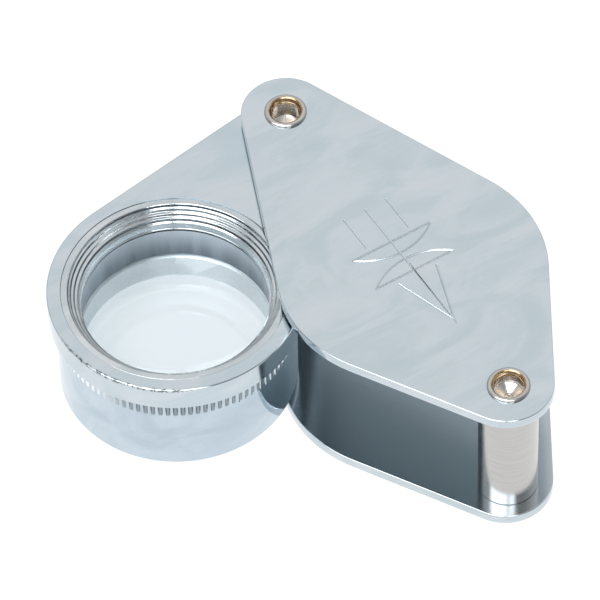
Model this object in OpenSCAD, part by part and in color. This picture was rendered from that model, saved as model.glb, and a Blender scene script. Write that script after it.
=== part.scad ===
// Folding pocket magnifier: a doublet lens in a round barrel that swings out
// from between two flat cover plates.
// Origin: underside of the bottom cover, on the lens axis of the folded magnifier.
// +X runs from the pivot to the end post, +Z is up, and the lens is swung out towards -Y.

/* [Cover plates] */
// Distance between the axes of the pivot post and the end post
post_spacing = 42; // [41.5:0.5:46]
// Thickness of each cover plate
cover_t = 1.2; // [1:0.1:1.5]
// Clear height between the two cover plates
gap_h = 14.8; // [14.5:0.1:16]
// Radius of the wide middle of the covers
belly_r = 13.8; // [13.5:0.1:15]
// Radius of the cover's tip round the pivot post
pivot_tip_r = 4.6; // [4.4:0.1:5.5]
// Radius of the cover's tip round the end post
end_tip_r = 4.9; // [4.5:0.1:5.5]

/* [Posts] */
// Radius of the posts between the covers
post_r = 3.05; // [2.9:0.05:3.2]
// Radius of the tenon that passes through each cover
tenon_r = 2; // [1.9:0.05:2.1]
// Radius of the rolled head on the top cover
head_r = 2.2; // [2.15:0.05:2.5]
// Height of the rolled head above the top cover
head_h = 0.35; // [0.2:0.05:0.5]

/* [Lens ring] */
// Distance from the pivot to the lens axis
arm_l = 24.2; // [24:0.1:24.5]
// Angle by which the lens is swung out of the covers
swing_out = 59.6; // [50:0.1:120]
// Radius of the ring's flange
flange_r = 13.05; // [13:0.05:13.3]
// Thickness of the flange and its arm
flange_t = 3; // [2.8:0.1:3.2]
// Radius of the arm's boss round the pivot post
boss_r = 4; // [3.8:0.1:4.4]
// Radius of the opening that holds the funnel ring
mouth_r = 11.63; // [11.5:0.01:11.8]

/* [Barrel and lenses] */
// Outer radius of the barrel below the flange
barrel_r = 12.28; // [12:0.01:12.6]
// Radius of the glass lenses
lens_r = 10.5; // [10.3:0.1:10.6]
// Thickness of each lens at its rim
lens_rim_t = 1; // [0.8:0.1:1.2]
// Height of each lens's dome above its rim
lens_dome_h = 1.6; // [1:0.1:1.6]

/* [Hidden] */
$fn = 96;

chrome_grey = "#c4cdd4";
nickel_grey = "#c9c5bd";
satin_nickel = "#b9bec2";
glass_tint = "#e5ecf2";

cut = 1;                                   // how far a cutter runs past a face
arc_step = 3;                              // degrees between the points of an outline's arc
running_gap = 0.05;                        // radial play of the arm on the pivot post
axial_play = 0.02;                         // play of the arm between its washers

// heights, from the underside upwards
gap_z = cover_t;
roof_z = gap_z + gap_h;
top_z = roof_z + cover_t;
flange_roof_play = 0.5;                    // flange to top cover, filled by the spring washer
flange_z = roof_z - flange_roof_play - flange_t;
flange_top_z = flange_z + flange_t;
barrel_floor_play = 1.1;                   // barrel to bottom cover
barrel_z = gap_z + barrel_floor_play;
washer_t = 0.3;

// places along X
pivot_x = -arm_l;
end_x = pivot_x + post_spacing;
end_tip_inset = 0.5;                       // the tip's centre sits inside the post's axis

// barrel and glass
neck_h = 0.7;                              // barrel neck inside the flange
lens_bore_r = lens_r + 0.05;
wall_r = 9.95;                             // bore above the lenses, their upper stop
ring_thread_r = 10.9;
ring_h = 0.8;                              // lower retaining ring
lens_gap = 0.2;                            // between the two domes
lower_rim_z = barrel_z + ring_h;
spacer_z = lower_rim_z + lens_rim_t;
spacer_h = 2 * lens_dome_h + lens_gap;
upper_rim_z = spacer_z + spacer_h;
lens_top_z = upper_rim_z + lens_rim_t;
dome_r = (lens_r * lens_r + lens_dome_h * lens_dome_h) / (2 * lens_dome_h);
spacer_bore_r = lens_r - 0.6;
spacer_seat = sqrt(dome_r * dome_r - spacer_bore_r * spacer_bore_r) - (dome_r - lens_dome_h) + 0.01;

// ---------------------------------------------------------------- helpers

// Points of an arc of radius r about [x, 0], from angle a0 to a1.
function arc(x, r, a0, a1) =
    let (n = ceil(abs(a1 - a0) / arc_step))
    [for (i = [0:n]) let (a = a0 + (a1 - a0) * i / n) [x + r * cos(a), r * sin(a)]];

// Angle of the normal to the line that is tangent to two circles on the X axis.
function tangent_angle(x1, r1, x2, r2) = acos((r1 - r2) / (x2 - x1));

// Cover plate outline: a wide middle that narrows to a rounded tip at each post.
module cover_plate() {
    end_tip_x = end_x - end_tip_inset;
    a = tangent_angle(0, belly_r, end_tip_x, end_tip_r);
    b = tangent_angle(pivot_x, pivot_tip_r, 0, belly_r);
    linear_extrude(cover_t)
        polygon(concat(arc(end_tip_x, end_tip_r, -a, a), arc(0, belly_r, a, b),
                       arc(pivot_x, pivot_tip_r, b, 360 - b), arc(0, belly_r, 360 - b, 360 - a)));
}

// Flange and arm outline: the flange's circle narrows to the boss at the origin.
module holder_plate() {
    a = tangent_angle(0, boss_r, arm_l, flange_r);
    linear_extrude(flange_t)
        polygon(concat(arc(0, boss_r, a, 360 - a), arc(arm_l, flange_r, -a, a)));
}

// Moves its children to both post axes.
module at_posts() {
    for (x = [pivot_x, end_x]) translate([x, 0, 0]) children();
}

// Moves its children from the pivot frame to the swung-out lens axis.
module at_lens() {
    translate([pivot_x, 0, 0]) rotate(-swing_out) translate([arm_l, 0, 0]) children();
}

// Ring with a plain bore.
module ring(outer_r, inner_r, z, h) {
    translate([0, 0, z]) difference() {
        cylinder(r = outer_r, h = h);
        translate([0, 0, -cut]) cylinder(r = inner_r, h = h + 2 * cut);
    }
}

// Shouldered post: flush countersunk end below, drilled and rolled-over end above.
module post() {
    sink_r = tenon_r + 0.5;
    sink_h = 0.5;
    drill_r = 1.7;
    drill_straight = 1.1;
    drill_tip_h = drill_r / tan(59);       // 118 degree drill point
    crown_r = (head_r + drill_r) / 2;      // the highest circle of the rolled lip
    lip_z = top_z + head_h;
    rotate_extrude()
        polygon([[0, 0], [sink_r, 0], [tenon_r, sink_h], [tenon_r, gap_z], [post_r, gap_z],
                 [post_r, roof_z], [tenon_r, roof_z], [tenon_r, top_z], [head_r, top_z],
                 [head_r, lip_z - 0.12], [crown_r, lip_z], [drill_r + 0.08, lip_z - 0.1],
                 [drill_r, lip_z - 0.35], [drill_r, lip_z - drill_straight],
                 [0, lip_z - drill_straight - drill_tip_h]]);
}

// Plano-convex lens: flat side at z = 0, rim upwards and then the dome.
module plano_convex() {
    intersection() {
        cylinder(r = lens_r, h = lens_rim_t + lens_dome_h + cut);
        translate([0, 0, lens_rim_t + lens_dome_h - dome_r]) sphere(r = dome_r);
    }
}

// ---------------------------------------------------------------- covers

module bottom_cover() {
    color(chrome_grey) difference() {
        cover_plate();
        at_posts() {
            translate([0, 0, -cut]) cylinder(r = tenon_r, h = cover_t + 2 * cut);
            cylinder(r1 = tenon_r + 0.5, r2 = tenon_r, h = 0.5);
        }
    }
}

module top_cover() {
    color(chrome_grey) translate([0, 0, roof_z]) difference() {
        cover_plate();
        at_posts() translate([0, 0, -cut]) cylinder(r = tenon_r, h = cover_t + 2 * cut);
    }
}

// ---------------------------------------------------------------- pivot and end post

module pivot_post() {
    color(nickel_grey) translate([pivot_x, 0, 0]) post();
}

module end_post() {
    color(nickel_grey) translate([end_x, 0, 0]) post();
}

// Spacer tube that carries the arm near the top of the gap.
module pivot_sleeve() {
    sleeve_h = flange_z - axial_play - washer_t - gap_z;
    color(nickel_grey) translate([pivot_x, 0, 0]) ring(boss_r, post_r, gap_z, sleeve_h);
}

module thrust_washer() {
    color(nickel_grey) translate([pivot_x, 0, 0])
        ring(boss_r, post_r, flange_z - axial_play - washer_t, washer_t);
}

// Dished washer that presses the arm down and holds the lens where it is put.
module spring_washer() {
    inner_z = flange_top_z + axial_play;
    sheet_t = 0.2;
    color(nickel_grey) translate([pivot_x, 0, 0]) rotate_extrude()
        polygon([[post_r + 0.1, inner_z], [post_r + 0.1, inner_z + sheet_t],
                 [boss_r - 0.1, roof_z], [boss_r - 0.1, roof_z - sheet_t]]);
}

// ---------------------------------------------------------------- swinging lens unit

// Flange and arm in one piece, with the pivot bore and the stepped lens opening.
module lens_holder() {
    color(chrome_grey) translate([pivot_x, 0, flange_z]) rotate(-swing_out) difference() {
        holder_plate();
        translate([0, 0, -cut]) cylinder(r = post_r + running_gap, h = flange_t + 2 * cut);
        translate([arm_l, 0, -cut]) cylinder(r = mouth_r, h = flange_t + 2 * cut);
    }
}

// Bell-mouthed trim ring with fine steps that break up stray reflections.
module funnel_ring() {
    rim_drop = 0.05;
    foot_z = flange_z + neck_h;
    nose_z = foot_z - 0.4;                 // the nose reaches down into the barrel's bore
    nose_r = wall_r - 0.1;
    throat_r = 9.5;
    steps = [[10.93, 0.03], [10.82, 0.38], [10.6, 0.42], [10.5, 0.74], [10.24, 0.8],
             [10.1, 1.08], [9.86, 1.14], [9.72, 1.52], [9.56, 1.6], [throat_r, 2.3]];
    color(chrome_grey) at_lens() rotate_extrude()
        polygon(concat([[nose_r, foot_z], [mouth_r, foot_z], [mouth_r, flange_top_z - rim_drop]],
                       [for (s = steps) [s[0], flange_top_z - rim_drop - s[1]]],
                       [[throat_r, nose_z], [nose_r, nose_z]]));
}

// Turned barrel: neck inside the flange, stop shoulder for the lenses, thread bore below.
module lens_barrel() {
    neck_z = flange_z + neck_h;
    thread_h = ring_h + 0.2;
    color(chrome_grey) at_lens() rotate_extrude()
        polygon([[ring_thread_r, barrel_z], [barrel_r, barrel_z], [barrel_r, flange_z],
                 [mouth_r, flange_z], [mouth_r, neck_z], [wall_r, neck_z],
                 [wall_r, lens_top_z], [lens_bore_r, lens_top_z],
                 [lens_bore_r, barrel_z + thread_h], [ring_thread_r, barrel_z + thread_h]]);
}

module upper_lens() {
    color(glass_tint, 0.4) at_lens() translate([0, 0, lens_top_z]) mirror([0, 0, 1]) plano_convex();
}

module lens_spacer() {
    color(satin_nickel) at_lens()
        ring(lens_r, spacer_bore_r, spacer_z + spacer_seat, spacer_h - 2 * spacer_seat);
}

module lower_lens() {
    color(glass_tint, 0.4) at_lens() translate([0, 0, lower_rim_z]) plano_convex();
}

// Threaded ring that holds the lenses from below, with two spanner slots.
module lower_retaining_ring() {
    ring_bore_r = 9.7;
    slot_w = 1.2;
    slot_depth = 0.5;
    color(satin_nickel) at_lens() difference() {
        ring(ring_thread_r, ring_bore_r, barrel_z, ring_h);
        translate([-ring_thread_r - cut, -slot_w / 2, barrel_z - cut])
            cube([2 * (ring_thread_r + cut), slot_w, slot_depth + cut]);
    }
}

bottom_cover();
top_cover();
pivot_post();
end_post();
pivot_sleeve();
thrust_washer();
spring_washer();
lens_holder();
funnel_ring();
lens_barrel();
upper_lens();
lens_spacer();
lower_lens();
lower_retaining_ring();
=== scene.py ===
# %% [markdown]
# # A folding pocket magnifier in chrome and glass
# Two flat, mirror-bright cover plates are joined by two posts. A round lens barrel on a flat arm turns
# on one of the posts and swings out from between them.
# The solids that move and fit come ready made as a frame. This lesson models the surfaces that the eye
# meets: rolled rivet heads, rounded plate edges, a stepped lens funnel, a knurled barrel and the glass.

# %% The frame
import math

import bmesh
import bpy
from mathutils import Matrix, Vector


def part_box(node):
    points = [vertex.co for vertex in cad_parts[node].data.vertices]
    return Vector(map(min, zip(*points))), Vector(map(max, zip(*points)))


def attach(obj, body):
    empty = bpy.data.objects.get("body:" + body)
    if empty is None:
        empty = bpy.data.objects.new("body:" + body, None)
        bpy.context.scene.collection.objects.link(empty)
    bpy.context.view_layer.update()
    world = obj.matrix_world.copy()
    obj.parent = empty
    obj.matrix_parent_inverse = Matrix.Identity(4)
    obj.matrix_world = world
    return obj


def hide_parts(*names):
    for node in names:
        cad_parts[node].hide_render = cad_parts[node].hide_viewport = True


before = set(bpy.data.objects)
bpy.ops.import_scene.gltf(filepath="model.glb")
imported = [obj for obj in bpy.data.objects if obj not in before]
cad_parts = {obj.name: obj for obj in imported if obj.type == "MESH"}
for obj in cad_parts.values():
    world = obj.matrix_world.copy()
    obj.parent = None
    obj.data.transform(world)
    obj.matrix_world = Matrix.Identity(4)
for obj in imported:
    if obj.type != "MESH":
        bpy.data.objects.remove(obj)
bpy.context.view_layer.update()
print("CAD nodes:", ", ".join(sorted(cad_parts)))

# %% [markdown]
# ## The sizes that everything else is worked out from
# Each place and radius is read from the box of a CAD node, so a piece that is modelled here lands exactly
# where the solid is. Only small things that a box can't tell, such as how far an edge is rounded, are
# written down as numbers. Blender works in metres here, and MM turns a size in millimetres into metres.

# %% Sizes from the frame
MM = 0.001


def low(node):
    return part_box(node)[0]


def high(node):
    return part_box(node)[1]


def middle(node):
    return (low(node) + high(node)) / 2


def radius(node):
    return (high(node).x - low(node).x) / 2


pivot = middle("pivot_post")
post_end = middle("end_post")
lens_axis = middle("lens_barrel")
arm = Vector((lens_axis.x - pivot.x, lens_axis.y - pivot.y, 0))
arm_angle = math.atan2(arm.y, arm.x)

gap_low = high("bottom_cover").z
gap_high = low("top_cover").z
cover_top = high("top_cover").z
cover_t = cover_top - gap_high
head_top = high("end_post").z
post_r = radius("end_post")
flange_low, flange_high = low("lens_holder").z, high("lens_holder").z
flange_r = high("lens_holder").x - lens_axis.x
mouth_r = radius("funnel_ring")
barrel_r = radius("lens_barrel")
lens_r = radius("upper_lens")
boss_r = radius("thrust_washer")
print(f"posts {(post_end.x - pivot.x) / MM:.2f} mm apart, arm {arm.length / MM:.2f} mm long")
print(f"flange radius {flange_r / MM:.2f} mm, barrel radius {barrel_r / MM:.2f} mm")

# %% [markdown]
# ## The side that the magnifier is seen from
# The camera stands in front and to one side, 52 degrees up. It could be aimed with a Track To constraint,
# but its three axes are worked out here instead, because the room's windows are placed from the same
# bearing. A long lens from far off keeps the two plates almost parallel.

# %% Camera
view_azimuth = math.radians(59.354)
view_elevation = math.radians(52.199)
view_roll = math.radians(1.752)
view_distance = 726.62 * MM
aim_right, aim_up, aim_height = 0.8988 * MM, -9.0182 * MM, 0.3 * MM

sin_a, cos_a = math.sin(view_azimuth), math.cos(view_azimuth)
sin_e, cos_e = math.sin(view_elevation), math.cos(view_elevation)
level_right = Vector((cos_a, sin_a, 0))
level_up = Vector((-sin_a * sin_e, cos_a * sin_e, cos_e))
backwards = Vector((sin_a * cos_e, -cos_a * cos_e, sin_e))
right = level_right * math.cos(view_roll) - level_up * math.sin(view_roll)
up = level_right * math.sin(view_roll) + level_up * math.cos(view_roll)

camera_lens = bpy.data.cameras.new("studio_camera")
camera_lens.sensor_width = 36.0
camera_lens.lens = 416.28
camera_lens.clip_start, camera_lens.clip_end = 0.01, 20.0
camera = bpy.data.objects.new("studio_camera", camera_lens)
bpy.context.scene.collection.objects.link(camera)
camera.matrix_world = Matrix((right, up, backwards)).transposed().to_4x4()
aim = Vector((pivot.x, 0, aim_height)) + level_right * aim_right + level_up * aim_up
camera.location = aim + backwards * view_distance
bpy.context.scene.camera = camera
viewer_bearing = math.atan2(-cos_a, sin_a)
print(f"camera {view_distance:.2f} m away on bearing {math.degrees(viewer_bearing):.1f} degrees")

# %% [markdown]
# ## Small helpers for working by hand
# An operator acts on whatever is selected, so each step first clears the selection. The helpers below
# open a mesh for editing, pick points, edges or faces by where they are, and close it again.

# %% Selection helpers


def only(piece):
    """Selects one object and nothing else."""
    bpy.ops.object.select_all(action="DESELECT")
    piece.select_set(True)
    bpy.context.view_layer.objects.active = piece
    return piece


def added(name):
    """Names the primitive that was just added."""
    piece = bpy.context.object
    piece.name = name
    piece.data.name = name
    return piece


def edit(piece, select="DESELECT"):
    only(piece)
    bpy.ops.object.mode_set(mode="EDIT")
    bpy.ops.mesh.select_mode(type="VERT")
    bpy.ops.mesh.select_all(action=select)


def done():
    """Merges double points, turns every face outwards, and closes the mesh."""
    bpy.ops.mesh.select_mode(type="VERT")
    bpy.ops.mesh.select_all(action="SELECT")
    bpy.ops.mesh.remove_doubles(threshold=1e-7)
    bpy.ops.mesh.normals_make_consistent(inside=False)
    bpy.ops.object.mode_set(mode="OBJECT")


def pick_points(piece, test):
    """Selects the points that pass the test. The mesh is in edit mode."""
    bpy.ops.mesh.select_all(action="DESELECT")
    mesh = bmesh.from_edit_mesh(piece.data)
    for point in mesh.verts:
        point.select_set(test(point.co))
    mesh.select_flush_mode()
    bmesh.update_edit_mesh(piece.data)


def cap_open_end():
    """Closes the open ring of a turned part with one flat face."""
    bpy.ops.mesh.select_mode(type="EDGE")
    bpy.ops.mesh.select_all(action="DESELECT")
    bpy.ops.mesh.select_non_manifold(extend=False, use_multi_face=False, use_verts=False)
    bpy.ops.mesh.edge_face_add()


def apply_modifiers(piece):
    only(piece)
    for modifier in list(piece.modifiers):
        bpy.ops.object.modifier_apply(modifier=modifier.name)


def placed(piece, at, angle=0.0):
    """Moves a piece that was made about the origin to its axis, and puts its place into its mesh."""
    only(piece)
    piece.location = (at.x, at.y, 0)
    piece.rotation_euler = (0, 0, angle)
    bpy.ops.object.transform_apply(location=True, rotation=True, scale=True)
    return piece


# %% [markdown]
# ## Turning a part on the lathe
# Posts, rings, lenses and the barrel are all turned parts. One way to make them is Spin, which turns a
# drawn profile round an axis and leaves a seam to close. Here a circle is extruded ring by ring instead:
# each step moves the ring up or down and scales it to the next radius, as a lathe tool would.
# A profile is a list of (radius, height) points. It either ends where it began, or ends on the axis
# and leaves one flat face to cap.

# %% The lathe


def turned(name, profile, steps=192, closed=True):
    """A turned part about the Z axis."""
    first_r, first_z = profile[0]
    bpy.ops.object.select_all(action="DESELECT")
    bpy.ops.mesh.primitive_circle_add(vertices=steps, radius=first_r, location=(0, 0, 0))
    piece = added(name)
    edit(piece, "SELECT")
    bpy.ops.transform.translate(value=(0, 0, first_z))
    here_r, here_z = profile[0]
    for r, z in profile[1:] + ([profile[0]] if closed else []):
        bpy.ops.mesh.extrude_edges_move(TRANSFORM_OT_translate={"value": (0, 0, z - here_z)})
        if r != here_r:
            grow = r / here_r
            bpy.ops.transform.resize(value=(grow, grow, 1), center_override=(0, 0, z))
        here_r, here_z = r, z
    if not closed:
        bpy.ops.mesh.select_all(action="SELECT")
        bpy.ops.mesh.remove_doubles(threshold=1e-7)
        cap_open_end()
    done()
    return piece


def arc_points(centre_r, centre_z, size_r, size_z, start, stop, count):
    """Profile points along part of an ellipse, from angle start to stop in degrees."""
    points = []
    for i in range(count + 1):
        a = math.radians(start + (stop - start) * i / count)
        points.append((centre_r + size_r * math.cos(a), centre_z + size_z * math.sin(a)))
    return points


def below(top, steps):
    """Profile points given as (radius, depth under the top) in millimetres."""
    return [(r * MM, top - depth * MM) for r, depth in steps]


# %% [markdown]
# ## Rounded edges and clean shading
# No real edge is sharp. Edges could be bevelled one by one in edit mode. The Bevel modifier does it for
# every edge that is sharper than a given angle, so it suits plates and turned parts alike. On a mirror
# the shading matters as much: a flat face whose normals lean towards its edges reflects a bent room, so
# Weighted Normal gives each large flat face its own true direction.

# %% Rounding, drilling and clean shading


def rounded(piece, width, segments=3, angle=30):
    bevel = piece.modifiers.new("rounded edges", "BEVEL")
    bevel.width = width
    bevel.segments = segments
    bevel.limit_method = "ANGLE"
    bevel.angle_limit = math.radians(angle)
    apply_modifiers(piece)
    return piece


def drilled(piece, *cutters):
    """Cuts each cutter's shape out of the piece, and removes the cutter."""
    for cutter in cutters:
        cut = piece.modifiers.new("cut", "BOOLEAN")
        cut.operation = "DIFFERENCE"
        cut.solver = "EXACT"
        cut.object = cutter
        apply_modifiers(piece)
        bpy.data.objects.remove(cutter)
    return piece


def rod(r, z_low, z_high, at, vertices=192):
    """A plain round cutter."""
    bpy.ops.object.select_all(action="DESELECT")
    centre = (at.x, at.y, (z_low + z_high) / 2)
    bpy.ops.mesh.primitive_cylinder_add(vertices=vertices, radius=r, depth=z_high - z_low, location=centre)
    bpy.ops.object.transform_apply(location=True, rotation=True, scale=True)
    return added("cutter")


def cleanly_shaded(piece, angle=30):
    only(piece)
    bpy.ops.object.shade_smooth_by_angle(angle=math.radians(angle), keep_sharp_edges=False)
    steady = piece.modifiers.new("true flats", "WEIGHTED_NORMAL")
    steady.keep_sharp = True
    steady.weight = 100
    apply_modifiers(piece)
    return piece


# %% [markdown]
# ## Nodes in a few words
# A finish is a Principled shader with a few nodes in front of it. One helper adds a node with its
# settings and links. Colours are written as the sRGB hex values that a colour picker shows, and turned
# to the linear values that the shader works with. Pattern sizes are given in millimetres.

# %% Material helpers


def linear(hex_colour):
    channels = [int(hex_colour[i:i + 2], 16) / 255 for i in (1, 3, 5)]
    return tuple(c / 12.92 if c <= 0.04045 else ((c + 0.055) / 1.055) ** 2.4 for c in channels) + (1,)


def per_mm(size):
    """The scale that makes a noise pattern's features about this many millimetres across."""
    return 1 / (size * MM)


def add(tree_owner, kind, settings=None, **links):
    """Adds a node. Settings are its own values, and links go into its sockets by name or as i0, i1."""
    node = tree_owner.node_tree.nodes.new("ShaderNode" + kind)
    for key, value in (settings or {}).items():
        setattr(node, key, value)
    for key, value in links.items():
        numbered = key[0] == "i" and key[1:].isdigit()
        socket = node.inputs[int(key[1:])] if numbered else node.inputs[key.replace("_", " ")]
        if isinstance(value, bpy.types.NodeSocket):
            tree_owner.node_tree.links.new(value, socket)
        else:
            socket.default_value = value
    return node


def new_finish(name, metallic=1.0):
    """An empty material with its Principled shader, and the place on the piece to hang patterns on."""
    finish = bpy.data.materials.new(name)
    finish.use_nodes = True
    finish.node_tree.nodes.clear()
    shader = add(finish, "BsdfPrincipled", Metallic=metallic)
    add(finish, "OutputMaterial", Surface=shader.outputs["BSDF"])
    place = add(finish, "TexCoord").outputs["Object"]
    return finish, shader, place


def plug(finish, socket, shader, name):
    finish.node_tree.links.new(socket, shader.inputs[name])


def ramp(finish, value, start, stop, from_value=0.0, to_value=1.0):
    """Eases from one value to another as its input goes from start to stop."""
    eased = add(finish, "MapRange", {"interpolation_type": "SMOOTHSTEP"}, Value=value, From_Min=start,
                From_Max=stop, To_Min=from_value, To_Max=to_value)
    return eased.outputs["Result"]


def blend(finish, amount, first, second):
    """Mixes two colours."""
    mixed = add(finish, "Mix", {"data_type": "RGBA"}, i0=amount, i6=first, i7=second)
    return mixed.outputs[2]


def times(finish, first, second):
    return add(finish, "Math", {"operation": "MULTIPLY"}, i0=first, i1=second).outputs[0]


def noise(finish, place, size, detail=2.0, distortion=0.0):
    texture = add(finish, "TexNoise", Vector=place, Scale=per_mm(size), Detail=detail, Distortion=distortion)
    return texture.outputs["Fac"]


def stretched(finish, place, scale, turn=0.0):
    mapped = add(finish, "Mapping", Vector=place, Scale=scale, Rotation=(0, 0, math.radians(turn)))
    return mapped.outputs["Vector"]


def off_axis(finish, place, axis):
    """How far a point is from an upright axis."""
    flat = add(finish, "VectorMath", {"operation": "MULTIPLY"}, i0=place, i1=(1, 1, 0)).outputs["Vector"]
    apart = add(finish, "VectorMath", {"operation": "DISTANCE"}, i0=flat, i1=(axis.x, axis.y, 0))
    return apart.outputs["Value"]


def height(finish, place):
    return add(finish, "SeparateXYZ", Vector=place).outputs["Z"]


def shown(piece, finish, body, slot, *stands_for):
    """Gives a piece its finish and its CAD body, and hides the solids that it stands for."""
    if finish.name not in piece.data.materials:
        piece.data.materials.append(finish)
    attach(piece, body)
    if stands_for:
        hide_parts(*stands_for)
    print(f"{piece.name}: {len(piece.data.polygons)} faces, on {body}")
    return piece


# %% [markdown]
# ## Chrome plate
# The covers are pressed steel with bright chrome, buffed on a cloth wheel. Buffing leaves clouds up to
# a centimetre long, where the haze is a little stronger, and faint long wipes across them. Bump alone
# could draw them, but a mirror under an even sky hardly shows it, so they are drawn in colour and
# roughness, and the bump only adds the faintest dents.

# %% Chrome, as buffed
CLOUD_MM = 5.0
WIPE_MM = 0.5
WIPE_SHARE = 0.14


def buffed_chrome(name, hazy, clear, wipe_turn=35.0):
    """Bright chrome. Returns what a piece's own marks are added to."""
    finish, shader, place = new_finish(name)
    along_clouds = stretched(finish, place, (1.0, 0.45, 1.0), wipe_turn)
    clouds = noise(finish, along_clouds, CLOUD_MM, 5.0, 1.2)
    along_wipes = stretched(finish, place, (1.0, 0.12, 1.0), wipe_turn - 60)
    wipes = noise(finish, along_wipes, WIPE_MM, 3.0, 1.0)
    both = add(finish, "Math", {"operation": "MULTIPLY_ADD"}, i0=wipes, i1=WIPE_SHARE,
               i2=times(finish, clouds, 1 - WIPE_SHARE))
    tone = ramp(finish, both.outputs[0], 0.32, 0.68)
    colour = blend(finish, tone, linear(hazy), linear(clear))
    rough = ramp(finish, clouds, 0.3, 0.7, 0.11, 0.05)
    dents = add(finish, "Bump", Strength=0.12, Distance=0.02 * MM, Height=wipes)
    plug(finish, dents.outputs["Normal"], shader, "Normal")
    return finish, shader, place, colour, rough


cover_chrome, shader, place, colour, rough = buffed_chrome("buffed_chrome_plate", "#bdcad0", "#ccd4da")

# %% [markdown]
# The inner faces of the covers see no buffing wheel once they are cut, so they are duller and greyer
# than the outside, and the many reflections between them add up to a dark grey-green. They could have a
# material of their own. A ramp on the height does the same and needs no faces picked.
# The engraved strokes are told from the face round them in the same way, because they lie below its
# level. A graver leaves its cuts less smooth than a buffed face, so they are made rougher.

# %% The duller inner faces and the engraver's cuts
gap_middle = (gap_low + gap_high) / 2
half_gap = (gap_high - gap_low) / 2
from_middle = add(cover_chrome, "Math", {"operation": "SUBTRACT"}, i0=height(cover_chrome, place),
                  i1=gap_middle)
away = add(cover_chrome, "Math", {"operation": "ABSOLUTE"}, i0=from_middle.outputs[0]).outputs[0]
inside = ramp(cover_chrome, away, half_gap + 0.1 * MM, half_gap + 0.02 * MM)
plug(cover_chrome, blend(cover_chrome, inside, colour, linear("#b6bfc4")), shader, "Base Color")

SIGN_X = -1.8
SIGN_REACH = 12.0 * MM
sign_middle = Vector(((SIGN_X + 1.5) * MM, 0, 0))
top_away = cover_top - gap_middle
below_face = ramp(cover_chrome, away, top_away - 0.01 * MM, top_away - 0.03 * MM)
from_sign = off_axis(cover_chrome, place, sign_middle)
engraved = times(cover_chrome, below_face, ramp(cover_chrome, from_sign, SIGN_REACH, SIGN_REACH - 0.5 * MM))
CUT_ROUGH, INNER_ROUGH = 0.36, 0.16
graved = add(cover_chrome, "Mix", {"data_type": "FLOAT"}, i0=engraved, i2=rough, i3=CUT_ROUGH).outputs[0]
dull = add(cover_chrome, "Mix", {"data_type": "FLOAT"}, i0=inside, i2=graved, i3=INNER_ROUGH).outputs[0]
plug(cover_chrome, dull, shader, "Roughness")
print("made", cover_chrome.name)

# %% [markdown]
# ## Turned chrome with its wear
# The lens holder's top edge is knocked about where it meets keys and coins in a pocket: the plating is
# chipped into small dark flecks. The chips could be modelled, but there are many of them and they are
# shallow. A noise pattern gives them, and it is let through only near the edge and only on the side that
# took the knocks.

# %% The holder's chrome


def on_rim(bearing, r):
    """A point on a rim round the lens axis. The bearing is in degrees from the X axis."""
    turn = math.radians(bearing)
    return lens_axis + Vector((math.cos(turn), math.sin(turn), 0)) * r


holder_chrome, shader, place, colour, rough = buffed_chrome("chrome_on_turned_brass", "#bdcad1", "#cbd3d9",
                                                            -20.0)
worn_spot = on_rim(-58.65, flange_r)
from_lens = off_axis(holder_chrome, place, lens_axis)
at_edge = ramp(holder_chrome, from_lens, flange_r - 0.32 * MM, flange_r - 0.16 * MM)
at_top = ramp(holder_chrome, height(holder_chrome, place), flange_high - 0.42 * MM, flange_high - 0.2 * MM)
knocked = ramp(holder_chrome, off_axis(holder_chrome, place, worn_spot), 8.5 * MM, 5.0 * MM)
worn = times(holder_chrome, times(holder_chrome, at_edge, at_top), knocked)
CHIP_MM = 0.3
chips = noise(holder_chrome, place, CHIP_MM, 3.0)
chipped = times(holder_chrome, worn, ramp(holder_chrome, chips, 0.47, 0.56))
plug(holder_chrome, blend(holder_chrome, chipped, colour, linear("#767f85")), shader, "Base Color")
plug(holder_chrome, rough, shader, "Roughness")
print("made", holder_chrome.name)

# %% [markdown]
# The barrel's bore is plain nickel, dull so that it sends little stray light to the eye, and its colour is
# painted darker towards the glass as painted shade deep in the bore. The knurl's notches are never
# polished inside. Their colour is painted light: dark as painted shade in the notches at the front of the
# barrel, and near white as painted highlight in the others. How far a point is from the lens axis tells
# bore, notch and outer wall apart, so one material serves the whole piece.

# %% The barrel's chrome
barrel_chrome, shader, place, colour, rough = buffed_chrome("chrome_on_barrel", "#b3c2cd", "#c3d0da", 80.0)
from_axis = off_axis(barrel_chrome, place, lens_axis)
up_the_bore = ramp(barrel_chrome, height(barrel_chrome, place), high("upper_lens").z, high("lens_barrel").z)
STREAK_MM = 1.3
streaks = noise(barrel_chrome, stretched(barrel_chrome, place, (1.0, 1.0, 0.05)), STREAK_MM, 2.0)
streaky = ramp(barrel_chrome, streaks, 0.35, 0.65)
# Painted shade: the bore's colour darkens from its top down towards the glass.
bore_painted_shade = blend(barrel_chrome, streaky, linear("#7e8991"), linear("#949ea6"))
bore_colour = blend(barrel_chrome, up_the_bore, bore_painted_shade, linear("#c4ccd3"))
in_bore = ramp(barrel_chrome, from_axis, 10.3 * MM, 10.1 * MM)
in_notch = times(barrel_chrome, ramp(barrel_chrome, from_axis, barrel_r - 0.03 * MM, barrel_r - 0.09 * MM),
                 ramp(barrel_chrome, from_axis, barrel_r - 0.62 * MM, barrel_r - 0.58 * MM))
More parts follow.
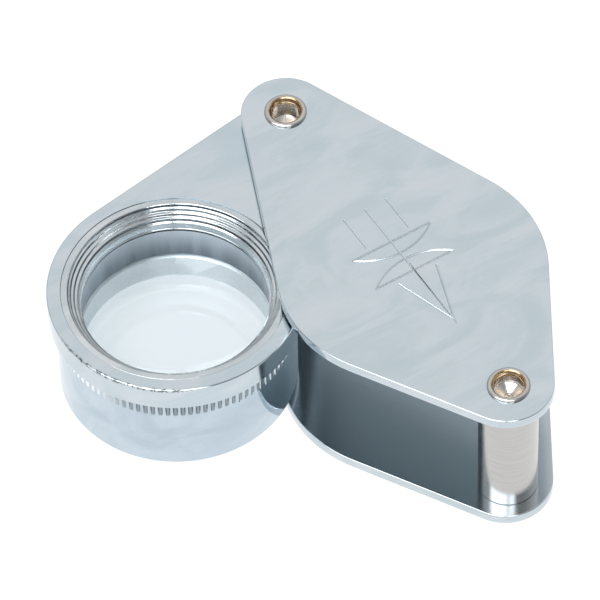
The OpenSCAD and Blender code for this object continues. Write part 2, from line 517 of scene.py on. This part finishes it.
# Painted shade and painted highlight: notches near the front of the barrel are coloured dark, the others
# near white.
front_notch_painted_shade = ramp(barrel_chrome, off_axis(barrel_chrome, place, on_rim(-22.65, barrel_r)), 12.0 * MM, 6.0 * MM)
notch_highlight_and_shade = blend(barrel_chrome, front_notch_painted_shade, linear("#f2f7fa"), linear("#8f999f"))
outer = blend(barrel_chrome, in_notch, colour, notch_highlight_and_shade)
plug(barrel_chrome, blend(barrel_chrome, in_bore, outer, bore_colour), shader, "Base Color")
unpolished = add(barrel_chrome, "Math", {"operation": "MAXIMUM"}, i0=in_bore, i1=in_notch).outputs[0]
dull = add(barrel_chrome, "Mix", {"data_type": "FLOAT"}, i0=unpolished, i2=rough, i3=0.3).outputs[0]
plug(barrel_chrome, dull, shader, "Roughness")
print("made", barrel_chrome.name)

# %% [markdown]
# The funnel ring is turned with a coarse tool, so its steps wobble a little and throw broken streaks of
# light. A noise that is drawn out round the ring would be truest. A plain fine noise on the bump looks
# the same at this size. The bottom of the thin nose is painted near black as a painted shadow, which
# shows as the dark shadow line under the steps.

# %% The funnel's chrome
funnel_chrome, shader, place, colour, rough = buffed_chrome("chrome_on_funnel", "#bcc5ca", "#d4d9dc", 10.0)
WOBBLE_MM = 0.5
wobble = noise(funnel_chrome, stretched(funnel_chrome, place, (1.0, 1.0, 2.5)), WOBBLE_MM, 3.0)
tool_marks = add(funnel_chrome, "Bump", Strength=0.35, Distance=0.04 * MM, Height=wobble)
plug(funnel_chrome, tool_marks.outputs["Normal"], shader, "Normal")
nose_z = low("funnel_ring").z
# Painted shadow: the bottom of the nose is coloured near black.
nose_painted_shadow = ramp(funnel_chrome, height(funnel_chrome, place), nose_z + 0.3 * MM, nose_z + 0.18 * MM)
plug(funnel_chrome, blend(funnel_chrome, nose_painted_shadow, colour, linear("#1d2124")), shader, "Base Color")
plug(funnel_chrome, rough, shader, "Roughness")
print("made", funnel_chrome.name)

# %% [markdown]
# ## Nickel over brass
# The posts are brass, nickel plated, and satin from the lathe: fine rings about 0.15 mm apart run round
# them. A wave texture would space them evenly. A noise that is squeezed along the post is less regular,
# as turning is. Where the heads were rolled over, the plating is stretched thin and the brass shows
# through on the inside of the rim.

# %% Nickel on the posts
nickel, shader, place = new_finish("nickel_plated_brass")
RING_MM = 0.15
rings = noise(nickel, stretched(nickel, place, (0.03, 0.03, 1.0)), RING_MM, 2.0)
plated = blend(nickel, ramp(nickel, rings, 0.35, 0.65), linear("#b9b8b7"), linear("#bfbebd"))
nearest = add(nickel, "Math", {"operation": "MINIMUM"}, i0=off_axis(nickel, place, pivot),
              i1=off_axis(nickel, place, post_end)).outputs[0]
in_head = ramp(nickel, height(nickel, place), cover_top - 2.6 * MM, cover_top - 2.2 * MM)
thin_plate = times(nickel, ramp(nickel, nearest, 1.86 * MM, 1.74 * MM), in_head)
patchy = ramp(nickel, noise(nickel, place, 0.8, 3.0), 0.35, 0.65)
brass = blend(nickel, patchy, linear("#a68c6c"), linear("#c6b295"))
deep = ramp(nickel, height(nickel, place), cover_top - 0.25 * MM, cover_top - 0.6 * MM)
inner = blend(nickel, deep, brass, linear("#c8c5c1"))
plug(nickel, blend(nickel, thin_plate, plated, inner), shader, "Base Color")
plug(nickel, ramp(nickel, rings, 0.3, 0.7, 0.18, 0.24), shader, "Roughness")
lathe_rings = add(nickel, "Bump", Strength=0.02, Distance=0.01 * MM, Height=rings)
plug(nickel, lathe_rings.outputs["Normal"], shader, "Normal")
print("made", nickel.name)

# %% [markdown]
# The lens spacer and the retaining ring are plated in a pale dull nickel, and the spring washer is
# blued-grey rolled steel. Only their edges show, so one fine grain each is enough.

# %% Satin nickel and spring steel
GRIT_MM, ROLLED_MM = 0.3, 0.5


def grained_metal(name, dark, light, grain, smooth, rough):
    finish, shader, place = new_finish(name)
    grit = noise(finish, place, grain, 3.0)
    mottled = blend(finish, ramp(finish, grit, 0.3, 0.7), linear(dark), linear(light))
    plug(finish, mottled, shader, "Base Color")
    plug(finish, ramp(finish, grit, 0.3, 0.7, smooth, rough), shader, "Roughness")
    print("made", name)
    return finish


bright_nickel = grained_metal("bright_satin_nickel", "#f0f6f8", "#fbfdfe", GRIT_MM, 0.38, 0.5)
spring_steel = grained_metal("rolled_spring_steel", "#8d9294", "#a9adb0", ROLLED_MM, 0.18, 0.3)

# %% [markdown]
# ## Optical glass
# The lenses are crown glass, polished. The glass colour greys a little towards one side of the rim, which is
# painted shade. Their edges are ground, which turns clear glass white, so the edge faces get a frosted
# finish of their own.
# Real frosting scatters light inside the glass. A pale, rough, mostly metallic face is a stand-in for it
# that sends about as much light back.

# %% Glass
glass, shader, place = new_finish("polished_crown_glass", metallic=0.0)
# Painted shade: the glass colour greys towards one side of the rim, round a centre set off the lens axis.
lens_shade_centre = lens_axis + Vector((1.28, 2.15, 0)) * MM
shade = ramp(glass, off_axis(glass, place, lens_shade_centre), 5.0 * MM, 12.5 * MM)
plug(glass, blend(glass, shade, linear("#f0f5f8"), linear("#e8eff2")), shader, "Base Color")
shader.inputs["Transmission Weight"].default_value = 1.0
shader.inputs["Roughness"].default_value = 0.0
shader.inputs["IOR"].default_value = 1.52

ground_glass, shader, place = new_finish("ground_glass_edge", metallic=0.9)
GROUND_MM = 0.2
grit = noise(ground_glass, place, GROUND_MM, 2.0)
plug(ground_glass, blend(ground_glass, grit, linear("#cfd8db"), linear("#e9eef0")), shader, "Base Color")
shader.inputs["Roughness"].default_value = 0.6
print("made", glass.name, "and", ground_glass.name)

# %% [markdown]
# ## Cover plates
# Each cover has the outline of a belt stretched round three discs: the two ends and the wide middle.
# It could be drawn as a curve and extruded, but then its arcs and straights would have to be fitted to
# each other. The discs are added as cylinders and joined, and Convex Hull stretches the belt.

# %% Plates from discs
end_tip_x = post_end.x - 0.5 * MM
cover_discs = (
    (pivot.x, pivot.x - low("top_cover").x),
    (0.0, high("top_cover").y),
    (end_tip_x, high("top_cover").x - end_tip_x),
)
tenon_r = 2.0 * MM
COVER_EDGE = 0.13 * MM


def belt_round_discs(name, discs, z_low, z_high, vertices=288):
    made = [rod(r, z_low, z_high, Vector((x, 0)), vertices) for x, r in discs]
    only(made[0])
    for disc in made[1:]:
        disc.select_set(True)
    bpy.ops.object.join()
    plate = added(name)
    edit(plate, "SELECT")
    bpy.ops.mesh.convex_hull()
    bpy.ops.mesh.select_all(action="SELECT")
    bpy.ops.mesh.dissolve_limited(angle_limit=math.radians(0.05))
    done()
    return plate


def cover(name, z_low):
    plate = belt_round_discs(name, cover_discs, z_low, z_low + cover_t)
    rounded(plate, COVER_EDGE, segments=4)
    holes = [rod(tenon_r, z_low - MM, z_low + cover_t + MM, post, 96) for post in (pivot, post_end)]
    return drilled(plate, *holes)


bottom = cleanly_shaded(cover("bottom_cover_plate", 0.0))
shown(bottom, cover_chrome, "case", "chrome_plate", "bottom_cover")

# %% [markdown]
# ## An engraved sign for the lens
# The top cover carries an engraved drawing of the optics: two plano-convex lenses face each other on an
# axis, and rays meet behind them. A bump could draw the strokes, but real grooves also catch the light
# at a slant. Every stroke is a shallow V, so each cutter is a four-sided bar or ring that stands on its
# edge and is flattened. The cutters are lifted a little, so that no corner lies in the face it cuts.

# %% Engraving strokes
GROOVE_HALF = 0.16 * MM
GROOVE_LIFT = 0.02 * MM
GROOVE_FLATTEN = 0.6
OVERRUN = 0.1
RAY_SPREAD = 0.55


def straight_groove(start, stop):
    """A V-shaped cutter between two points on the top face, given in millimetres."""
    a, b = Vector(start) * MM, Vector(stop) * MM
    along = b - a
    bpy.ops.object.select_all(action="DESELECT")
    bpy.ops.mesh.primitive_cylinder_add(vertices=4, radius=GROOVE_HALF, depth=along.length)
    bar = added("groove")
    bar.scale.x = GROOVE_FLATTEN
    bar.rotation_euler = (0, math.pi / 2, math.atan2(along.y, along.x))
    bar.location = ((a.x + b.x) / 2, (a.y + b.y) / 2, cover_top + GROOVE_LIFT)
    bpy.ops.object.transform_apply(location=True, rotation=True, scale=True)
    return bar


def curved_groove(flat_x, half_h, rise):
    """A V-shaped cutter along the domed side of a lens outline, that bulges by rise from flat_x."""
    bow_r = (half_h ** 2 + rise ** 2) / (2 * abs(rise))
    side = math.copysign(1, rise)
    centre_x = (flat_x + rise - side * bow_r) * MM
    bpy.ops.object.select_all(action="DESELECT")
    bpy.ops.mesh.primitive_torus_add(major_segments=240, minor_segments=4, major_radius=bow_r * MM,
                                     minor_radius=GROOVE_HALF,
                                     location=(centre_x, 0, cover_top + GROOVE_LIFT))
    ring = added("groove")
    ring.scale.z = GROOVE_FLATTEN
    bpy.ops.object.transform_apply(location=True, rotation=True, scale=True)
    edit(ring, "SELECT")
    bpy.ops.mesh.bisect(plane_co=(flat_x * MM + side * GROOVE_LIFT, 0, 0), plane_no=(side, 0, 0),
                        use_fill=True, clear_inner=True, threshold=1e-8)
    done()
    return ring


def doublet_sign(x, half_h, rise, gap):
    """The strokes of the lens drawing, centred on x. All sizes are in millimetres."""
    left_flat, right_flat = x - gap / 2 - rise, x + gap / 2 + rise
    ray_start, focus, axis_end, axis_y = left_flat - 5.0, right_flat + 7.5, right_flat + 8.0, 0.01
    strokes = [curved_groove(left_flat, half_h, rise), curved_groove(right_flat, half_h, -rise)]
    for flat_x in (left_flat, right_flat):
        strokes.append(straight_groove((flat_x, -half_h - OVERRUN, 0), (flat_x, half_h + OVERRUN, 0)))
    strokes.append(straight_groove((ray_start, axis_y, 0), (axis_end, axis_y, 0)))
    for side in (-1, 1):
        ray_y = side * half_h * RAY_SPREAD
        strokes.append(straight_groove((ray_start, ray_y, 0), (left_flat - 0.6, ray_y, 0)))
        strokes.append(straight_groove((right_flat + 0.6, ray_y * 0.9, 0), (focus, 0, 0)))
    return strokes


top = cover("top_cover_plate", gap_high)
drilled(top, *doublet_sign(SIGN_X, 4.6, 1.7, 0.9))
shown(cleanly_shaded(top), cover_chrome, "case", "chrome_plate", "top_cover")

# %% [markdown]
# ## Rivet posts
# Each post is turned with a shoulder between the covers and a thin tenon through each of them. The
# bottom end is peened into a countersink. The top end is drilled, and its rim is rolled outwards.
# The pivot's drilling ends in a dished floor, and the end post's in the cone that the drill left.
# The drilling could be cut with a boolean. It is part of the lathe's profile instead, which keeps the
# faces in clean rings. The shoulders have a tenth of a millimetre of chamfer, as a turner leaves them.

# %% Posts
head_r = 2.2 * MM
lip_root = cover_top + 0.05 * MM


def post(name, at, crest_r, hollow):
    """A post with its shoulder, tenons and rolled head, and the hollow that is drilled in its top."""
    crest = crest_r * MM
    peened = tenon_r + 0.42 * MM
    foot = 0.1 * MM
    shank = [(peened, 0.0), (tenon_r, peened - tenon_r), (tenon_r, gap_low),
             (post_r - foot, gap_low), (post_r, gap_low + foot),
             (post_r, gap_high - foot), (post_r - foot, gap_high),
             (tenon_r, gap_high), (tenon_r, cover_top), (head_r - 0.08 * MM, cover_top)]
    lip_h = head_top - lip_root
    outer_lip = arc_points(crest, lip_root, head_r - crest, lip_h, 0, 90, 8)
    inner_r = hollow[0][0] * MM
    inner_lip = arc_points(crest, lip_root, crest - inner_r, lip_h, 100, 180, 7)
    bore = below(cover_top, hollow + [(0, hollow[-1][1])])
    piece = turned(name, shank + outer_lip + inner_lip + bore, steps=128, closed=False)
    placed(piece, at)
    return cleanly_shaded(piece, 25)


def hollow_floor(r, depth, dish, count=6):
    """A dished floor, as (radius, depth) in millimetres."""
    return [(r * (1 - i / count), depth + dish * math.sin(i / count * math.pi / 2)) for i in range(count)]


flared_bore = [(1.56, 0.1), (1.54, 0.22), (1.49, 0.27), (1.48, 0.4), (1.43, 0.48), (1.42, 1.9)]
flared_bore += hollow_floor(1.32, 2.05, 0.22)
drilled_bore = [(1.6, 0.1), (1.56, 0.28), (1.5, 0.36), (1.48, 1.08), (1.4, 1.1), (1.37, 1.2), (1.3, 1.26),
                (0.52, 1.72), (0.44, 1.76), (0.4, 1.86), (0.3, 1.9), (0.2, 2.05)]

pivot_turned = post("turned_pivot_post", pivot, 1.88, flared_bore)
shown(pivot_turned, nickel, "case", "nickel_plated_brass", "pivot_post")
end_turned = post("turned_end_post", post_end, 1.9, drilled_bore)
shown(end_turned, nickel, "case", "nickel_plated_brass", "end_post")

# %% [markdown]
# ## Lens holder
# The holder is one flat piece: a round flange for the lens, and an arm that narrows to a boss on the
# pivot. An arm could be bridged to a ring, but the two run into each other without a seam, so it is the
# same belt as a cover's, round two discs, with the mouth and the pivot hole cut out.

# %% Holder


def lens_holder():
    discs = ((0.0, boss_r), (arm.length, flange_r))
    plate = belt_round_discs("flange_and_arm", discs, flange_low, flange_high)
    rounded(plate, 0.2 * MM, segments=4)
    mouth = rod(mouth_r, flange_low - MM, flange_high + MM, Vector((arm.length, 0)), 288)
    pin = rod(post_r + 0.05 * MM, flange_low - MM, flange_high + MM, Vector((0, 0)), 96)
    drilled(plate, mouth, pin)
    placed(plate, pivot, arm_angle)
    return cleanly_shaded(plate)


shown(lens_holder(), holder_chrome, "lens_unit", "chrome_turned", "lens_holder")

# %% [markdown]
# ## Stepped funnel
# The ring in the mouth of the flange is a funnel of five steps, each a short cone over a narrow ledge.
# The steps break up stray light. Below them a thin nose reaches down into the barrel's bore. The steps
# could be a bump on a plain cone, but their edges catch the windows and their ledges lie in shadow, so
# they are turned.

# %% Funnel ring
funnel_low, funnel_high = low("funnel_ring").z, high("funnel_ring").z


def funnel():
    foot = high("lens_barrel").z
    nose_r, throat_r = 9.85 * MM, 9.5 * MM
    steps = [(10.98, 0.0), (10.9, 0.06), (10.84, 0.36), (10.66, 0.44), (10.56, 0.72), (10.3, 0.8),
             (10.2, 1.06), (9.94, 1.14), (9.84, 1.46), (9.66, 1.56), (9.58, 2.2), (9.56, 2.26), (9.5, 2.3)]
    profile = [(nose_r, foot), (mouth_r, foot), (mouth_r, funnel_high - 0.06 * MM)]
    profile += [(mouth_r - 0.06 * MM, funnel_high)] + below(funnel_high, steps)
    profile += [(throat_r, funnel_low), (nose_r, funnel_low)]
    ring = turned("stepped_funnel", profile, steps=288)
    rounded(ring, 0.03 * MM, segments=2, angle=20)
    placed(ring, lens_axis)
    return cleanly_shaded(ring, 40)


shown(funnel(), funnel_chrome, "lens_unit", "chrome_turned", "funnel_ring")

# %% [markdown]
# ## Knurled barrel
# The barrel screws into the flange, and a band of straight knurling under the flange gives the thumb a
# hold. A hundred boolean cuts would be slow and leave long thin faces. The barrel is turned with six
# columns of faces to a notch instead, and three points out of six are drawn inwards, more at the top
# than at the bottom, so that each notch runs out on the plain wall.

# %% Barrel
NOTCHES = 100
COLUMNS = 6 * NOTCHES
HAIR = 0.01 * MM
barrel_low, barrel_high = low("lens_barrel").z, high("lens_barrel").z
lens_top = high("upper_lens").z
band_low = flange_low - 2.45 * MM


def knurled_barrel():
    thread_r, bore_r, wall_r = radius("lower_retaining_ring"), lens_r + 0.05 * MM, 9.95 * MM
    thread_top = high("lower_retaining_ring").z
    notch_cuts = ((band_low, 0.0), (band_low + 0.3 * MM, 0.1), (band_low + 0.9 * MM, 0.17),
                  (flange_low, 0.22))
    edge = 0.35 * MM
    profile = [(thread_r, barrel_low)]
    profile += arc_points(barrel_r - edge, barrel_low + edge, edge, edge, -90, 0, 6)
    profile += [(barrel_r, z) for z, depth in notch_cuts]
    profile += [(mouth_r, flange_low), (mouth_r, barrel_high), (wall_r, barrel_high), (wall_r, lens_top),
                (bore_r, lens_top), (bore_r, thread_top), (thread_r, thread_top)]
    piece = turned("knurled_barrel", profile, steps=COLUMNS)
    edit(piece)
    for z, depth in notch_cuts[1:]:

        def in_a_notch(point):
            column = round(math.atan2(point.y, point.x) / (2 * math.pi) * COLUMNS) % 6
            on_wall = math.hypot(point.x, point.y) > barrel_r - HAIR
            return column < 3 and on_wall and abs(point.z - z) < HAIR

        pick_points(piece, in_a_notch)
        draw_in = 1 - depth * MM / barrel_r
        bpy.ops.transform.resize(value=(draw_in, draw_in, 1), center_override=(0, 0, 0))
    done()
    placed(piece, lens_axis)
    return cleanly_shaded(piece, 20)


shown(knurled_barrel(), barrel_chrome, "lens_unit", "chrome_turned", "lens_barrel")

# %% [markdown]
# ## Lenses
# A doublet magnifier holds two plano-convex lenses with their domes facing each other. A dome could be
# cut from a UV sphere, but its rings would not meet the rim. Each lens is turned from its edge over the
# dome to the axis, and its flat side is the one face that is left to cap.

# %% Lenses
RIM_T = 1.0 * MM
DOME_STEPS = 24


def lens(name, node, dome_down):
    flat, tip = (high(node).z, low(node).z) if dome_down else (low(node).z, high(node).z)
    side = -1 if dome_down else 1
    rim = flat + side * RIM_T
    dome_h = abs(tip - rim)
    dome_r = (lens_r ** 2 + dome_h ** 2) / (2 * dome_h)
    edge_angle = math.asin(lens_r / dome_r)
    chamfer = 0.1 * MM
    profile = [(lens_r - chamfer, flat), (lens_r, flat + side * chamfer)]
    for i in range(DOME_STEPS):
        a = edge_angle * (1 - i / DOME_STEPS)
        profile.append((dome_r * math.sin(a), tip - side * dome_r * (1 - math.cos(a))))
    profile.append((0, tip))
    piece = turned(name, profile, closed=False)
    piece.data.materials.append(glass)
    piece.data.materials.append(ground_glass)
    for face in piece.data.polygons:
        if math.hypot(face.center.x, face.center.y) > lens_r - 0.12 * MM:
            face.material_index = 1
    placed(piece, lens_axis)
    return cleanly_shaded(piece)


shown(lens("upper_glass", "upper_lens", True), glass, "lens_unit", "optical_glass", "upper_lens")
shown(lens("lower_glass", "lower_lens", False), glass, "lens_unit", "optical_glass", "lower_lens")

# %% [markdown]
# ## Lens spacer
# The ring between the lenses is turned hollow at both ends, so that it bears on the domes all over its
# width. A plain ring with a straight bore is the simpler shape, but seen through the upper lens it would
# draw a dark arc. This bore narrows downwards, and the glass looks clear nearly up to its edge.

# %% Lens spacer
spacer_bore = lens_r - 0.6 * MM
spacer_foot = lens_r - 1.2 * MM
SEAT_CLEARANCE = 0.01 * MM


def steps_between(a, b, steps):
    return [a + (b - a) * i / steps for i in range(steps + 1)]


def spacer():
    upper_rim, lower_rim = high("upper_lens").z - RIM_T, low("lower_lens").z + RIM_T
    dome_h = upper_rim - low("upper_lens").z
    dome_r = (lens_r ** 2 + dome_h ** 2) / (2 * dome_h)

    def bulge(r):
        return math.sqrt(dome_r ** 2 - r ** 2) - (dome_r - dome_h)

    lower_seat, upper_seat = lower_rim + SEAT_CLEARANCE, upper_rim - SEAT_CLEARANCE
    profile = [(r, lower_seat + bulge(r)) for r in steps_between(spacer_foot, lens_r, 6)]
    profile += [(r, upper_seat - bulge(r)) for r in steps_between(lens_r, spacer_bore, 4)]
    piece = turned("bright_lens_spacer", profile)
    placed(piece, lens_axis)
    return cleanly_shaded(piece)


shown(spacer(), bright_nickel, "lens_unit", "satin_nickel", "lens_spacer")

# %% [markdown]
# ## Solids that stay as they are
# Washers, sleeve and retaining ring have the right shape already. They could be turned again, but they
# are plain rings that only peep out, so they keep their solid's mesh and get a finish.

# %% Finishes for the plain rings
for node, finish in (("pivot_sleeve", nickel), ("thrust_washer", nickel), ("spring_washer", spring_steel),
                     ("lower_retaining_ring", bright_nickel)):
    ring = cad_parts[node]
    ring.data.materials.clear()
    ring.data.materials.append(finish)
    print(node, "in", finish.name)

# %% [markdown]
# ## Floor
# A magnifier like this is at home on a light table, so it stands on a white surface that glows evenly.
# A lit white floor would show a shadow. This one has none, and every upright chrome wall is bright.

# %% Light table
bpy.ops.object.select_all(action="DESELECT")
bpy.ops.mesh.primitive_plane_add(size=6.0, location=(0, 0, -0.02 * MM))
floor = added("light_table")
table_top, shader, place = new_finish("opal_light_table", metallic=0.0)
shader.inputs["Base Color"].default_value = (0.08, 0.08, 0.08, 1)
shader.inputs["Roughness"].default_value = 1.0
shader.inputs["Specular IOR Level"].default_value = 0.0
shader.inputs["Emission Color"].default_value = (1, 1, 1, 1)
shader.inputs["Emission Strength"].default_value = 1.0
floor.data.materials.append(table_top)

# %% [markdown]
# ## Light
# Chrome shows nothing but its surroundings. Area lamps would leave black between them, so the light is
# drawn as a room: a pale wall behind the object, a dim side where the viewer stands, and two bright soft
# windows in that side, a wide one on the left and a narrow one on the right. Their edges fall on the
# rounded rims as thin white lines. The walls are greyer near the horizon, so that flat faces seen from
# low down stand out too.

# %% A room of soft light
room = bpy.data.worlds.new("soft_light_room")
bpy.context.scene.world = room
room.use_nodes = True
room.node_tree.nodes.clear()
direction = add(room, "TexCoord").outputs["Generated"]
split = add(room, "SeparateXYZ", Vector=direction).outputs
turn = add(room, "Math", {"operation": "ARCTAN2"}, i0=split["Y"], i1=split["X"]).outputs[0]
bearing = add(room, "Math", {"operation": "SUBTRACT"}, i0=turn, i1=viewer_bearing).outputs[0]
climb = add(room, "Math", {"operation": "ARCSINE"}, i0=split["Z"]).outputs[0]


def window(first, last, low_edge, high_edge, strength, soft=4.0):
    """A bright window between two bearings right of the viewer and two heights, all in degrees."""
    sides = ((bearing, first - soft, first), (bearing, last + soft, last),
             (climb, low_edge - soft, low_edge), (climb, high_edge + soft, high_edge))
    level = strength
    for value, dark_at, lit_at in sides:
        level = times(room, ramp(room, value, math.radians(dark_at), math.radians(lit_at)), level)
    return level


toward_viewer = (math.cos(viewer_bearing), math.sin(viewer_bearing), 0.0)
dot = add(room, "VectorMath", {"operation": "DOT_PRODUCT"}, i0=direction, i1=toward_viewer)
FAR_WALL, NEAR_WALL, HORIZON = 0.97, 0.42, 0.58
near_horizon = ramp(room, climb, math.radians(14), math.radians(40), HORIZON, 1.0)
walls = times(room, ramp(room, dot.outputs["Value"], -0.3, 0.45, FAR_WALL, NEAR_WALL), near_horizon)
left_window = window(-70.0, -6.0, 20.0, 78.0, 2.6)
right_window = window(4.0, 22.0, 20.0, 70.0, 2.4)
UPPER_PANES = 1.7
brighter_pane = ramp(room, climb, math.radians(40), math.radians(46), 1.0, UPPER_PANES)
windows = add(room, "Math", {"operation": "ADD"}, i0=left_window, i1=right_window).outputs[0]
both_windows = times(room, windows, brighter_pane)
all_light = add(room, "Math", {"operation": "ADD"}, i0=walls, i1=both_windows).outputs[0]
sky = add(room, "Background", Color=(1, 1, 1, 1), Strength=all_light)
add(room, "OutputWorld", Surface=sky.outputs["Background"])

# %% [markdown]
# Light bounces many times between the two covers. With too few bounces the gap would end in black, so
# the limits are raised. The Standard view keeps white paper white.

# %% Bounces and view
scene = bpy.context.scene
scene.view_settings.view_transform = "Standard"
scene.cycles.max_bounces = 24
scene.cycles.glossy_bounces = 16
scene.cycles.transmission_bounces = 16
